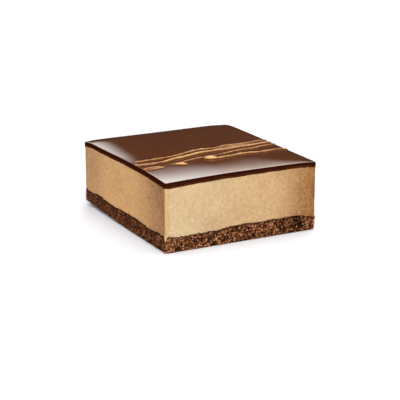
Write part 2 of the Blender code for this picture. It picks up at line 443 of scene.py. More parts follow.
def quarter_round(radius):
    """Steps round an edge from the side to the flat: how far in, and how far short of the flat."""
    for step in range(ROUND_STEPS + 1):
        angle = math.pi / 2 * step / ROUND_STEPS
        yield radius * (1 - math.cos(angle)), radius * (1 - math.sin(angle))


# Mesh making


def grid_index(i, j, columns, rows, edge_start, inner_start):
    """The vertex at column i and row j of a grid whose edge is the ring that starts at edge_start."""
    if j == 0:
        return edge_start + i
    if i == columns:
        return edge_start + columns + j
    if j == rows:
        return edge_start + 2 * columns + rows - i
    if i == 0:
        return edge_start + 2 * columns + 2 * rows - j
    return inner_start + (i - 1) * (rows - 1) + j - 1


def skin(name, rings, marks, label, columns=0, rows=0, crown=None):
    """A closed skin from rings of points, lowest first. marks, one for each ring, are kept as an attribute.

    The last ring is closed flat, or by a grid on the surface crown(across, along), which takes the last mark.
    """
    count = len(rings[0])
    points = [point for points_of_ring in rings for point in points_of_ring]
    values = [mark for mark in marks for _ in range(count)]
    faces = [tuple(reversed(range(count)))]
    for level in range(len(rings) - 1):
        low = level * count
        for step in range(count):
            a, b = low + step, low + (step + 1) % count
            faces.append((a, b, b + count, a + count))
    last = (len(rings) - 1) * count
    if crown is None:
        faces.append(tuple(range(last, last + count)))
    else:
        inner = len(points)
        for i in range(1, columns):
            for j in range(1, rows):
                points.append(crown(-1 + 2 * i / columns, -1 + 2 * j / rows))
                values.append(marks[-1])
        for i in range(columns):
            for j in range(rows):
                around = ((i, j), (i + 1, j), (i + 1, j + 1), (i, j + 1))
                faces.append(tuple(grid_index(*at, columns, rows, last, inner) for at in around))
    mesh = bpy.data.meshes.new(name)
    mesh.from_pydata(points, [], faces)
    mesh.attributes.new(label, "FLOAT", "POINT").data.foreach_set("value", values)
    mesh.shade_smooth()
    return place(name, mesh)


def place(name, data):
    """Adds an object that holds this mesh, lamp or lens."""
    holder = bpy.data.objects.new(name, data)
    bpy.context.scene.collection.objects.link(holder)
    return holder


# Node making


def feed(node, inputs):
    """Sets inputs of a node to values, sockets, or nodes whose first live output is meant."""
    for key, value in inputs.items():
        if isinstance(value, bpy.types.Node):
            value = next(socket for socket in value.outputs if socket.enabled)
        if isinstance(value, bpy.types.NodeSocket):
            node.id_data.links.new(value, node.inputs[key])
        else:
            node.inputs[key].default_value = value


def put(tree, kind, inputs=None, **settings):
    """Adds a node with these inputs and settings."""
    node = tree.nodes.new(kind)
    for name, value in settings.items():
        setattr(node, name, value)
    feed(node, inputs or {})
    return node


def weighted_sum(add, *terms):
    """The sum of values, each given with its weight."""
    total = 0.0
    for value, weight in terms:
        total = add("ShaderNodeMath", {0: value, 1: weight, 2: total}, operation="MULTIPLY_ADD")
    return total


def mottle(add, where, size, low, high, inputs=None, **settings):
    """A cloudy pattern with patches of that size, between low and high."""
    clouds = add("ShaderNodeTexNoise", {"Vector": where, "Scale": 1 / size, **(inputs or {})}, **settings)
    span = {"From Min": 0.3, "From Max": 0.7, "To Min": low, "To Max": high}
    return add("ShaderNodeMapRange", {"Value": clouds, **span})


def push_out(add, geometry, amount):
    """Moves every point that far out along its normal."""
    normal = add("GeometryNodeInputNormal")
    offset = add("ShaderNodeVectorMath", {0: normal, "Scale": amount}, operation="SCALE")
    return add("GeometryNodeSetPosition", {"Geometry": geometry, "Offset": offset})


def new_tree(name, **inputs):
    """Begins a geometry tree with these inputs, named by kind. Gives what adds a node, and the inputs."""
    tree = bpy.data.node_groups.new(name, "GeometryNodeTree")
    for kind, labels in {"Geometry": ("Geometry",), **inputs, "Material": ("Finish",)}.items():
        for label in labels:
            tree.interface.new_socket(label, in_out="INPUT", socket_type="NodeSocket" + kind)
    tree.interface.new_socket("Geometry", in_out="OUTPUT", socket_type="NodeSocketGeometry")
    return partial(put, tree), tree.nodes.new("NodeGroupInput").outputs


def end_tree(add, geometry, finish):
    """Ends a geometry tree in one plain mesh with that finish."""
    joined = add("GeometryNodeRealizeInstances", {"Geometry": geometry})
    finished = add("GeometryNodeSetMaterial", {"Geometry": joined, "Material": finish})
    return add("NodeGroupOutput", {"Geometry": finished}).id_data


def run_tree(piece, tree, values):
    """Replaces the piece's mesh with what the tree makes of it. values are by input name."""
    modifier = piece.modifiers.new(tree.name, "NODES")
    modifier.node_group = tree
    identifiers = {item.name: item.identifier for item in tree.interface.items_tree if item.in_out == "INPUT"}
    for label, value in values.items():
        modifier[identifiers[label]] = value
    depsgraph = bpy.context.evaluated_depsgraph_get()
    made = bpy.data.meshes.new_from_object(piece.evaluated_get(depsgraph), depsgraph=depsgraph)
    piece.modifiers.remove(modifier)
    before = piece.data
    piece.data = made
    bpy.data.meshes.remove(before)
    if not made.polygons:
        raise RuntimeError(f"{tree.name} made no faces for {piece.name}")


def relief_tree():
    """Lumps, grains, knife streaks and open pores on the faces whose attribute "cut" is 1.

    It keeps how high on a grain or lump and how deep in a pore each point is, as attributes of those names.
    """
    add, given = new_tree(
        "Cut face relief",
        Float=(
            "Lump Size", "Lump Height", "Grain Size", "Grain Height", "Streak Height",
            "Pore Spacing", "Pore Width", "Pore Depth", "Pore Share",
        ),
        Int=("Seed",),
    )
    position = add("GeometryNodeInputPosition")
    seed = add("ShaderNodeMath", {0: given["Seed"], 1: SEED_SHIFT}, operation="MULTIPLY")
    moved = add("ShaderNodeVectorMath", {0: position, 1: seed}, operation="ADD")
    lump_scale, grain_scale, pore_scale = (
        add("ShaderNodeMath", {0: 1.0, 1: given[label]}, operation="DIVIDE")
        for label in ("Lump Size", "Grain Size", "Pore Spacing")
    )
    lumps = add("ShaderNodeTexNoise", {"Vector": moved, "Scale": lump_scale, "Detail": 4, "Roughness": 0.6})
    span = {"From Min": 0.25, "From Max": 0.75, "To Min": -1, "To Max": 1}
    lump = add("ShaderNodeMapRange", {"Value": lumps, **span})
    # grains are the cells of a pattern, bent out of shape and each of its own height
    bend = add("ShaderNodeTexNoise", {"Vector": moved, "Scale": grain_scale, "Detail": 1}).outputs["Color"]
    bend_by = add("ShaderNodeMath", {0: given["Grain Size"], 1: 1.9}, operation="MULTIPLY")
    bent = add("ShaderNodeVectorMath", {0: bend, 1: bend_by, 2: moved}, operation="MULTIPLY_ADD")
    grains = add("ShaderNodeTexVoronoi", {"Vector": bent, "Scale": grain_scale})
    own = add("FunctionNodeSeparateColor", {0: grains.outputs["Color"]})
    span = {"From Min": 0.1, "From Max": 0.65, "To Min": 0.7, "To Max": -1.2}
    rounded = add("ShaderNodeMapRange", {"Value": grains, **span}, interpolation_type="SMOOTHSTEP")
    grain = weighted_sum(add, (own, 0.6), (rounded, 1))
    # the knife moves down, so its streaks are long and upright
    drawn = add("ShaderNodeVectorMath", {0: moved, 1: (1, 1, 0.09)}, operation="MULTIPLY")
    streak = mottle(add, drawn, 0.9 * MM, -1, 1)
    heights = {"Lump Height": lump, "Grain Height": grain, "Streak Height": streak}
    raised = weighted_sum(add, *((value, given[label]) for label, value in heights.items()))
    # each cell of the pattern holds a pore or none, of its own width
    cells = add("ShaderNodeTexVoronoi", {"Vector": moved, "Scale": pore_scale})
    chance = add("FunctionNodeSeparateColor", {0: cells.outputs["Color"]}).outputs
    open_cell = add("ShaderNodeMath", {0: chance[0], 1: given["Pore Share"]}, operation="LESS_THAN")
    widest = add("ShaderNodeMath", {0: given["Pore Width"], 1: given["Pore Spacing"]}, operation="DIVIDE")
    of_widest = add("ShaderNodeMapRange", {"Value": chance[1], "To Min": 0.2, "To Max": 0.5})
    radius = add("ShaderNodeMath", {0: widest, 1: of_widest}, operation="MULTIPLY")
    span = {"From Max": radius, "To Min": 1, "To Max": 0}
    hollow = add("ShaderNodeMapRange", {"Value": cells, **span}, interpolation_type="SMOOTHSTEP")
    pore = add("ShaderNodeMath", {0: hollow, 1: open_cell}, operation="MULTIPLY")
    sunk = add("ShaderNodeMath", {0: pore, 1: given["Pore Depth"]}, operation="MULTIPLY")
    outward = add("ShaderNodeMath", {0: raised, 1: sunk}, operation="SUBTRACT")
    cut = add("GeometryNodeInputNamedAttribute", {"Name": "cut"}, data_type="FLOAT")
    amount = add("ShaderNodeMath", {0: outward, 1: cut}, operation="MULTIPLY")
    kept = given["Geometry"]
    for label, value in {"pore": pore, "lump": lump, "grain": grain}.items():
        kept = add("GeometryNodeStoreNamedAttribute", {"Geometry": kept, "Name": label, "Value": value})
    return end_tree(add, push_out(add, kept, amount), given["Finish"])


def crumb_tree():
    """Loose crumbs of uneven size, scattered where the attribute "cut" is 1."""
    add, given = new_tree("Loose crumbs", Float=("Per Area", "Smallest", "Largest"), Int=("Seed",))
    seed = {"Seed": given["Seed"]}
    cut = add("GeometryNodeInputNamedAttribute", {"Name": "cut"}, data_type="FLOAT")
    density = add("ShaderNodeMath", {0: cut, 1: given["Per Area"]}, operation="MULTIPLY")
    on_mesh = {"Mesh": given["Geometry"], "Density": density, **seed}
    spots = add("GeometryNodeDistributePointsOnFaces", on_mesh)
    block = add("GeometryNodeMeshCube", {"Size": (1.6, 1.6, 1.6)})
    ball = add("GeometryNodeSubdivisionSurface", {"Mesh": block, "Level": 1})
    ranges = ({"Min": (low,) * 3, "Max": (high,) * 3, **seed} for low, high in ((0, math.tau), (0.7, 1.2)))
    turn, stretch = (add("FunctionNodeRandomValue", inputs, data_type="FLOAT_VECTOR") for inputs in ranges)
    # small crumbs are far more common than large ones
    chance = add("FunctionNodeRandomValue", seed, data_type="FLOAT")
    rare = add("ShaderNodeMath", {0: chance, 1: 2.5}, operation="POWER")
    size = add("ShaderNodeMapRange", {"Value": rare, "To Min": given["Smallest"], "To Max": given["Largest"]})
    scale = add("ShaderNodeVectorMath", {0: stretch, "Scale": size}, operation="SCALE")
    laid = {"Points": spots, "Instance": ball, "Rotation": turn, "Scale": scale}
    crumbs = add("GeometryNodeInstanceOnPoints", laid)
    tone = add("FunctionNodeRandomValue", {2: -0.4, 3: 1.0, **seed}, data_type="FLOAT")
    mark = {"Geometry": crumbs, "Name": "grain", "Value": tone}
    toned = add("GeometryNodeStoreNamedAttribute", mark, domain="INSTANCE")
    joined = add("GeometryNodeRealizeInstances", {"Geometry": toned})
    # knocks dents into the balls, a third of the largest crumb deep
    position = add("GeometryNodeInputPosition")
    dents = add("ShaderNodeTexNoise", {"Vector": position, "Scale": 1 / (0.5 * MM), "Detail": 1})
    dent = add("ShaderNodeMath", {0: dents, 1: 0.5}, operation="SUBTRACT")
    depth = add("ShaderNodeMath", {0: dent, 1: given["Largest"]}, operation="MULTIPLY")
    return end_tree(add, push_out(add, joined, depth), given["Finish"])


def strand_tree():
    """Strands laid on a surface: half a flattened tube, as wide and as high as its path's attributes say."""
    add, given = new_tree("Laid strands", Object=("Surface",), Float=("Step", "Wobble", "Seed"))
    path = add("GeometryNodeMeshToCurve", {"Mesh": given["Geometry"]})
    smooth = add("GeometryNodeCurveSplineType", {"Curve": path}, spline_type="CATMULL_ROM")
    fine = add("GeometryNodeResampleCurve", {"Curve": smooth, "Length": given["Step"]}, mode="LENGTH")
    position = add("GeometryNodeInputPosition")
    above = add("ShaderNodeVectorMath", {0: position, 1: (0, 0, 50 * MM)}, operation="ADD")
    surface = add("GeometryNodeObjectInfo", {"Object": given["Surface"]}).outputs["Geometry"]
    ray = {"Source Position": above, "Ray Direction": (0, 0, -1), "Ray Length": 1.0}
    hit = add("GeometryNodeRaycast", {"Target Geometry": surface, **ray}).outputs["Hit Position"]
    laid = add("GeometryNodeSetPosition", {"Geometry": fine, "Position": hit})
    half_width, steepness, base = (
        add("GeometryNodeInputNamedAttribute", {"Name": label}, data_type="FLOAT")
        for label in ("half_width", "steepness", "base")
    )
    # strands swell and thin along the way
    swell = mottle(add, position, 2.5 * MM, -1, 1, {"W": given["Seed"], "Detail": 1}, noise_dimensions="4D")
    radius = weighted_sum(add, (swell, given["Wobble"]), (half_width, 1))
    thick = add("ShaderNodeMath", {0: radius, 1: 0.05 * MM}, operation="MAXIMUM")
    sized = add("GeometryNodeSetCurveRadius", {"Curve": laid, "Radius": thick})
    x, y, z = add("ShaderNodeSeparateXYZ", {0: position}).outputs
    marked = add("GeometryNodeStoreNamedAttribute", {"Geometry": sized, "Name": "base", "Value": z})
    circle = add("GeometryNodeCurvePrimitiveCircle", {"Resolution": 14, "Radius": 1.0}).outputs["Curve"]
    own_radius = add("GeometryNodeInputRadius")
    swept = {"Curve": marked, "Profile Curve": circle, "Scale": own_radius, "Fill Caps": True}
    tube = add("GeometryNodeCurveToMesh", swept)
    # the round tube is stretched upright, about its path, by its steepness
    over = add("ShaderNodeMath", {0: z, 1: base}, operation="SUBTRACT")
    rise = add("ShaderNodeMath", {0: over, 1: steepness}, operation="MULTIPLY")
    rise_mm = add("ShaderNodeMath", {0: rise, 1: 1 / MM}, operation="MULTIPLY")
    kept = add("GeometryNodeStoreNamedAttribute", {"Geometry": tube, "Name": "thickness", "Value": rise_mm})
    raised = add("ShaderNodeMath", {0: rise, 1: base}, operation="ADD")
    rounded = add("ShaderNodeCombineXYZ", {0: x, 1: y, 2: raised})
    flat = add("GeometryNodeSetPosition", {"Geometry": kept, "Position": rounded})
    # small lumps all over
    lumpy = push_out(add, flat, mottle(add, position, 1.3 * MM, -0.04 * MM, 0.04 * MM))
    even = add("GeometryNodeSetShadeSmooth", {"Geometry": lumpy, "Shade Smooth": True})
    return end_tree(add, even, given["Finish"])


# Finishes


def coat(material, inputs):
    """Feeds the material's shader."""
    feed(material.node_tree.nodes["Principled BSDF"], inputs)
    return material


def new_finish(name, *marks, **constants):
    """Begins a material whose shader holds these constants.

    It gives the material, what adds a node to it, Object coordinates, and the marks that the piece keeps.
    """
    material = bpy.data.materials.new(name)
    material.use_nodes = True
    coat(material, {label.replace("_", " "): value for label, value in constants.items()})
    add = partial(put, material.node_tree)
    kept = (add("ShaderNodeAttribute", attribute_name=mark).outputs["Fac"] for mark in marks)
    return material, add, add("ShaderNodeTexCoord").outputs["Object"], *kept


def layered(add, colour, *layers):
    """Colours laid over one another, each with its share. A share below nothing leads away from its colour."""
    colour = (*colour, 1)
    for share, over in layers:
        inputs = {MIX_FACTOR: share, MIX_A: colour, MIX_B: (*over, 1)}
        colour = add("ShaderNodeMix", inputs, data_type="RGBA", clamp_factor=False)
    return colour


def cocoa_sponge_cut(look):
    """Cocoa sponge, baked and cut. Dry crumb: matt, with painted shade in its pores and between crumbs, and
    pale where a crumb stands out, partly its own specks and partly a painted highlight.
    """
    material, add, places, pore, grain, lump, paleness, even, seam = new_finish(
        "Cocoa sponge, cut", "pore", "grain", "lump", "paleness", "even", "seam",
        Roughness=0.85, Specular_IOR_Level=0.05,
    )
    # specks of about 0.7 mm on the grains, and paler spots, the one at the front left corner being painted
    # light
    specks = add("ShaderNodeTexNoise", {"Vector": places, "Scale": 1 / (0.7 * MM), "Detail": 3})
    high = weighted_sum(add, (specks, 2.4), (grain, 1), (lump, 0.8), (paleness, 0.55))
    # paler where a crumb stands high: partly its own specks, partly a painted highlight
    pale = add("ShaderNodeMapRange", {"Value": high, "From Min": 1.2, "From Max": 2.1})
    # painted shade in the gaps between crumbs and in the pores
    low = add("ShaderNodeMapRange", {"Value": high, "From Min": 0.95, "From Max": 0.3})
    deep = add("ShaderNodeMath", {0: pore, 1: low}, operation="MAXIMUM")
    # where the knife has smoothed it the sponge is more even, and just under the mousse it is drawn in painted
    # shade
    colours = (pale, look.speck_and_highlight), (deep, look.pore), (even, look.smoothed), (seam, look.seam)
    colour = layered(add, look.body, *colours)
    # grit of about 0.25 mm
    grit = add("ShaderNodeTexNoise", {"Vector": places, "Scale": 1 / (0.25 * MM), "Detail": 2})
    bump = add("ShaderNodeBump", {"Height": grit, "Strength": 0.6, "Distance": 0.15 * MM})
    return coat(material, {"Base Color": colour, "Normal": bump})


def coffee_mousse_cut(look):
    """Coffee mousse, set and cut with a wet knife. Soft, matt, a little see-through, mottled and streaked."""
    material, add, places, front_sheen, shade_and_patches, burr = new_finish(
        "Coffee mousse, cut", "front_sheen", "shade_and_patches", "burr",
        Roughness=0.6, Specular_IOR_Level=0.25,
        Subsurface_Weight=0.2, Subsurface_Scale=1.2 * MM, Subsurface_Radius=(1.0, 0.6, 0.3),
    )
    # broad patches of 11 mm, leaning mottles of 1.1 mm and upright streaks about 1 mm apart
    patches = add("ShaderNodeTexNoise", {"Vector": places, "Scale": 1 / (11 * MM), "Detail": 3})
    tall = add("ShaderNodeMapping", {"Vector": places, "Rotation": (0, 0.35, 0), "Scale": (1, 1, 0.85)})
    mottled = {"Vector": tall, "Scale": 1 / (1.1 * MM), "Detail": 3, "Roughness": 0.6}
    mottles = add("ShaderNodeTexNoise", mottled)
    drawn = add("ShaderNodeMapping", {"Vector": places, "Scale": (1, 1, 0.12)})
    streaks = add("ShaderNodeTexNoise", {"Vector": drawn, "Scale": 1 / (1.1 * MM), "Detail": 2})
    uneven = weighted_sum(add, (patches, 0.25), (mottles, 0.7), (streaks, 0.05))
    span = {"From Min": 0.36, "From Max": 0.64, "To Min": -0.36, "To Max": 0.36}
    shade = add("ShaderNodeMapRange", {"Value": uneven, **span})
    # the front face, drawn with painted sheen, is mottled less
    strength = add("ShaderNodeMapRange", {"Value": front_sheen, "From Max": 0.6, "To Min": -1.05, "To Max": -0.65})
    depth = weighted_sum(add, (shade, strength), (shade_and_patches, 1))
    # painted light and shade: the paler front face, the darker colour near edges and in creases, and the
    # darker patches
    colour = layered(add, look.body, (front_sheen, look.front_sheen), (depth, look.deep), (burr, look.burr))
    bump = add("ShaderNodeBump", {"Height": mottles, "Strength": 0.3, "Distance": 0.12 * MM})
    return coat(material, {"Base Color": colour, "Normal": bump})


def chocolate_glaze_poured(look):
    """Dark chocolate glaze, poured over the set mousse. It mirrors the room."""
    material, add, places = new_finish("Dark chocolate glaze, poured", IOR=1.47, Roughness=look.roughness)
    # clouds of 9 mm
    cloud = mottle(add, places, 9 * MM, 0.9, 1.1, {"Detail": 3})
    colour = add("ShaderNodeVectorMath", {0: look.top, "Scale": cloud}, operation="SCALE")
    return coat(material, {"Base Color": colour})


def chocolate_glaze_cut(look):
    """Dark chocolate glaze, cut with a wet knife, which leaves it dull and smears mousse up from below."""
    material, add, places, band = new_finish(
        "Dark chocolate glaze, cut", "band", Roughness=0.6, Specular_IOR_Level=0.0
    )
    # smears of 1.2 mm
    smears = add("ShaderNodeTexNoise", {"Vector": places, "Scale": 1 / (1.2 * MM), "Detail": 3})
    edge = weighted_sum(add, (smears, 0.7), (band, 1))
    at_foot = add("ShaderNodeMapRange", {"Value": edge, "From Min": 0.85, "From Max": 1.15})
    return coat(material, {"Base Color": layered(add, look.side, (at_foot, look.foot))})


def caramel_drizzled(look):
    """Caramel, drizzled. Thick caramel is pale and opaque, and thin caramel lets the dark glaze through. The
    pale crown is partly a painted highlight, and the dark edge partly painted shade beside the strand.
    """
    material, add, places, thickness = new_finish(
        "Caramel, drizzled", "thickness", Roughness=0.5, IOR=1.48, Specular_IOR_Level=0.07
    )
    # mottles of 1.4 mm, worth 0.25 mm of thickness
    mottles = add("ShaderNodeTexNoise", {"Vector": places, "Scale": 1 / (1.4 * MM), "Detail": 3})
    uneven = weighted_sum(add, (mottles, 0.5), (thickness, 1))
    # painted highlight on thick crowns and painted shade on thin edges, over the caramel's own thin-to-thick
    # colours
    thick = add("ShaderNodeMapRange", {"Value": uneven, "From Min": 0.35, "From Max": 0.62})
    bright = add("ShaderNodeMapRange", {"Value": uneven, "From Min": 0.65, "From Max": 1.0})
    return coat(material, {"Base Color": layered(add, look.edge, (thick, look.body), (bright, look.pale))})


def white_card(look):
    """White card, matt. Its faint mottle keeps the floor from looking like nothing at all."""
    material, add, places = new_finish("White card, matt", Roughness=0.9, Specular_IOR_Level=0.1)
    # fibres of 2 mm
    fibres = add("ShaderNodeTexNoise", {"Vector": places, "Scale": 1 / (2 * MM), "Detail": 2})
    shade = add("ShaderNodeMapRange", {"Value": fibres, "To Min": 0.99, "To Max": 1.01})
    colour = add("ShaderNodeVectorMath", {0: look.floor, "Scale": shade}, operation="SCALE")
    return coat(material, {"Base Color": colour})


# Pieces


def hand_over(piece, slot, *nodes):
    """Says what the piece rides on and which solids it stands for. The slot argument is not used."""
    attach(piece, "root")
    if nodes:
        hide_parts(*nodes)


def wall_rings(sizes, shares, low, high, levels, outward=None):
    """Rings from the surface low up to high. outward(x, y, share of the height) moves a point out."""
    rings = []
    for level in range(levels + 1):
        up = level / levels
        ring = []
        for across, along in shares:
            x, y = on_footprint(sizes, across, along)
            if outward:
                away = outward(x, y, up)
                reach = math.hypot(x, y)
                x, y = x + away * x / reach, y + away * y / reach
            bottom, top = low(sizes, x, y), high(sizes, x, y)
            ring.append((x, y, bottom + (top - bottom) * up))
        rings.append(ring)
    return rings


def inset_ring(sizes, shares, inset, height):
    points = (on_footprint(sizes, across, along, inset) for across, along in shares)
    return [(x, y, height(sizes, x, y)) for x, y in points]


def keep_marks(piece, marks):
    """Keeps lists of one value for each point as attributes of those names."""
    for label, values in marks.items():
        piece.data.attributes.new(label, "FLOAT", "POINT").data.foreach_set("value", values)


def rest_on_table(piece):
    """Flattens whatever would reach below the table."""
    for vertex in piece.data.vertices:
        vertex.co.z = max(vertex.co.z, 0.0)


def mark_sponge(piece, sizes):
    """Keeps the painted shade just under the mousse, how much paler or darker each point is drawn, and how
    smoothed it is, as three attributes.
    """
    near = 0.3 * MM
    marks = {"seam": [], "paleness": [], "even": []}
    for vertex in piece.data.vertices:
        x, y, z = vertex.co
        below = max(0.0, crumb_line(sizes, x, y) - z)
        at_front = y < -sizes.depth / 2 + near
        at_left = x < -sizes.width / 2 + near and not at_front
        # paler and darker spots along the front; the one at the front left corner is painted light
        spots = (strength * bell(x - spot_x, reach) for spot_x, reach, strength in PALE_SPOTS)
        # painted shade just under the mousse
        marks["seam"].append(UNDER_MOUSSE_SHADE * bell(below, UNDER_MOUSSE_SHADE_REACH))
        marks["paleness"].append(sum(spots) if at_front else LEFT_PALENESS * at_left)
        marks["even"].append(LEFT_SMOOTHED * at_left)
    keep_marks(piece, marks)


class CAKE_OT_sponge(bpy.types.Operator):
    """Makes the sponge: crumbly cut sides full of pores, a rounded lower edge"""

    bl_idname = "cake.sponge"
    bl_label = "Sponge"

    def execute(self, context):
        sizes, look = context.scene.cake_sizes, context.scene.cake_sponge
        shares = edge_shares(*grid_counts(sizes, SPONGE_STEP))
        rings, marks = [], []
        for inset, short in reversed(list(quarter_round(sizes.foot))):
            rings.append(inset_ring(sizes, shares, inset, lambda s, x, y: sponge_underside(s, x, y) + short))
            marks.append(1 - inset / sizes.foot)

        def foot(s, x, y):
            return sponge_underside(s, x, y) + s.foot

        levels = round(sizes.sponge / SPONGE_STEP)
        rings += wall_rings(sizes, shares, foot, crumb_line, levels)[1:]
        rings.append(inset_ring(sizes, shares, HIDDEN_INSET, lambda s, x, y: crumb_line(s, x, y) + OVERLAP))
        marks += [1.0] * levels + [0.0]
        piece = skin("sponge_crumb", rings, marks, "cut")
        mark_sponge(piece, sizes)
        finish = cocoa_sponge_cut(look)
        loose = piece.copy()
        loose.data = piece.data.copy()
        loose.name = "loose_crumbs"
        context.scene.collection.objects.link(loose)
        relief = {
            "Lump Size": 2.6 * MM,
            "Lump Height": 0.34 * MM,
            "Grain Size": look.grain_size,
            "Grain Height": look.grain_height,
            "Streak Height": 0.0,
            "Pore Spacing": look.pore_spacing,
            "Pore Width": look.pore_width,
            "Pore Depth": look.pore_depth,
            "Pore Share": 0.55,
            "Seed": look.seed,
            "Finish": finish,
        }
        run_tree(piece, relief_tree(), relief)
        rest_on_table(piece)
        hand_over(piece, "sponge", "sponge_base")
        scatter = {
            "Per Area": look.crumbs_per_square_cm / (0.01 * 0.01),
            "Smallest": look.smallest_crumb,
            "Largest": look.largest_crumb,
            "Seed": look.seed,
            "Finish": finish,
        }
        run_tree(loose, crumb_tree(), scatter)
        rest_on_table(loose)
        hand_over(loose, "sponge")
        return {"FINISHED"}


def mark_mousse(piece, sizes, look):
    """Keeps the painted sheen and light on the front face, the painted shade near edges and in creases with
    the darker patches, and where it is a burr, as attributes.
    """
    half_width, half_depth = sizes.width / 2, sizes.depth / 2
    marks = {"front_sheen": [], "shade_and_patches": [], "burr": []}
    for vertex in piece.data.vertices:
        x, y, z = vertex.co
        low = 1 - z / sizes.rim_height
        front_sheen, shade_and_patches = 0.0, 0.0
        if y < -half_depth + 0.25 * MM:
            # painted light and sheen: the front face is drawn palest at its left end, fading toward its right
            # end as painted shade grows
            across = min(1.0, max(0.0, x / half_width + 0.5))
            front_sheen = 1 - SHEEN_FALLOFF * across
            shade_and_patches = SHADE_FALLOFF * across
            # darker patches, the first of them a painted shadow of a chocolate curl
            for patch_x, patch_z, reach, strength in PATCHES_AND_SHADOW:
                shade_and_patches += strength * bell(math.hypot(x - patch_x, (z - patch_z) * 1.3), reach)
        # on each face, one of these is about nothing and the other is the way to the nearest upright edge
        way = max(half_width - abs(x), half_depth - abs(y))
        reach, strength, pale = look.edge_shade_reach, EDGE_SHADE_FORWARD if y < 0 else EDGE_SHADE_BEHIND, PALE_LOW
        if front_sheen:
            reach, strength, pale = 0.8 * reach, EDGE_SHADE_ON_FRONT if x > 0 else 0.0, PALE_LOW_FRONT * (1 - across)
        # painted shade: darker toward the nearest upright edge, more on the front half; paler low down
        share = max(0.0, 1 - way / reach)
        shade_and_patches += strength * share * share * (3 - 2 * share) - pale * low * low
        if y < 3 * MM - half_depth:
            # painted shade: the front face is drawn darkest at its right end
            shade_and_patches += END_SHADE * bell(half_width - x, END_REACH)
        width = look.ridge_width * (0.75 + 0.6 * noise.noise(Vector((0.4, 0, z / (5 * MM)))))
        beside = max(0.0, x + half_width) / width
        behind = (y + half_depth) / (0.4 * MM)
        # painted shade in the crease beside the burr, darker low down
        crease_shade = bell(beside - 1.35, 0.3) if behind < 1 else 0.0
        marks["front_sheen"].append(front_sheen)
        marks["shade_and_patches"].append(shade_and_patches + crease_shade * (0.2 + 1.2 * low**3))
        marks["burr"].append(math.exp(-(beside**4) - behind**4))
    keep_marks(piece, marks)


class CAKE_OT_mousse(bpy.types.Operator):
    """Makes the mousse: straight cut faces with streaks, opened bubbles and a burr along the front edge"""

    bl_idname = "cake.mousse"
    bl_label = "Mousse"

    def execute(self, context):
        sizes, look = context.scene.cake_sizes, context.scene.cake_mousse
        shares = edge_shares(*grid_counts(sizes, MOUSSE_STEP))

        def burr(x, y, up):
            away = math.hypot(x + sizes.width / 2, y + sizes.depth / 2)
            uneven = 1 + 0.6 * noise.noise(Vector((1.7, 0.3, 9 * up)))
            crease = bell(away - 1.25 * look.ridge_width, 0.45 * MM)
            return look.ridge * uneven * (bell(away, 0.8 * look.ridge_width) - 0.5 * crease)

        def low(s, x, y):
            return crumb_line(s, x, y) - OVERLAP / 2

        def high(s, x, y):
            return glaze_underside(s, x, y) + OVERLAP

        levels = round((sizes.rim_height - sizes.glaze - sizes.sponge) / MOUSSE_STEP)
        rings = [inset_ring(sizes, shares, HIDDEN_INSET, low)]
        rings += wall_rings(sizes, shares, low, high, levels, burr)
        rings.append(inset_ring(sizes, shares, HIDDEN_INSET, high))
        marks = [0.0] + [1.0] * (levels + 1) + [0.0]
        piece = skin("mousse_block", rings, marks, "cut")
        mark_mousse(piece, sizes, look)
        finish = coffee_mousse_cut(look)
        relief = {
            "Lump Size": 9 * MM,
            "Lump Height": 0.12 * MM,
            "Grain Size": 1.1 * MM,
            "Grain Height": 0.02 * MM,
            "Streak Height": 0.008 * MM,
            "Pore Spacing": 2.4 * MM,
            "Pore Width": look.bubble_width,
            "Pore Depth": look.bubble_depth,
            "Pore Share": 0.3,
            "Seed": look.seed,
            "Finish": finish,
        }
        run_tree(piece, relief_tree(), relief)
        hand_over(piece, "mousse", "mousse")
        smear = skin("mousse_smear", smear_rings(sizes), [0.0] * (SMEAR_LEVELS + 1), "cut")
        mark_mousse(smear, sizes, look)
        smear.data.materials.append(finish)
        hand_over(smear, "mousse")
        return {"FINISHED"}


def smear_rings(sizes):
    """The mousse that the knife dragged down over the sponge at the front corner: a thinning, uneven ridge."""
    rings = []
    top, tip = sizes.sponge + 1.0 * MM, 5.4 * MM
    corner = Vector((-sizes.width / 2, -sizes.depth / 2))
    outward = corner.normalized()
    sideways = Vector((-outward.y, outward.x))
    for level in range(SMEAR_LEVELS + 1):
        share = level / SMEAR_LEVELS
        height = tip + (top - tip) * share
        thin = math.sqrt(min(1.0, share * 2.2 + 0.02))
        uneven = 1 + 0.55 * noise.noise(Vector((0, 0, height / (0.6 * MM))))
        drift = 0.3 * MM * noise.noise(Vector((3.3, 0, height / (1.6 * MM))))
        half_width, thickness = 0.5 * MM * thin * uneven, 0.38 * MM * thin * uneven
        centre = corner + sideways * drift
        ring = []
        for step in range(SMEAR_AROUND):
            angle = math.tau * step / SMEAR_AROUND
            spot = centre + sideways * half_width * math.cos(angle) + outward * thickness * math.sin(angle)
            ring.append((*spot, height))
        rings.append(ring)
    return rings


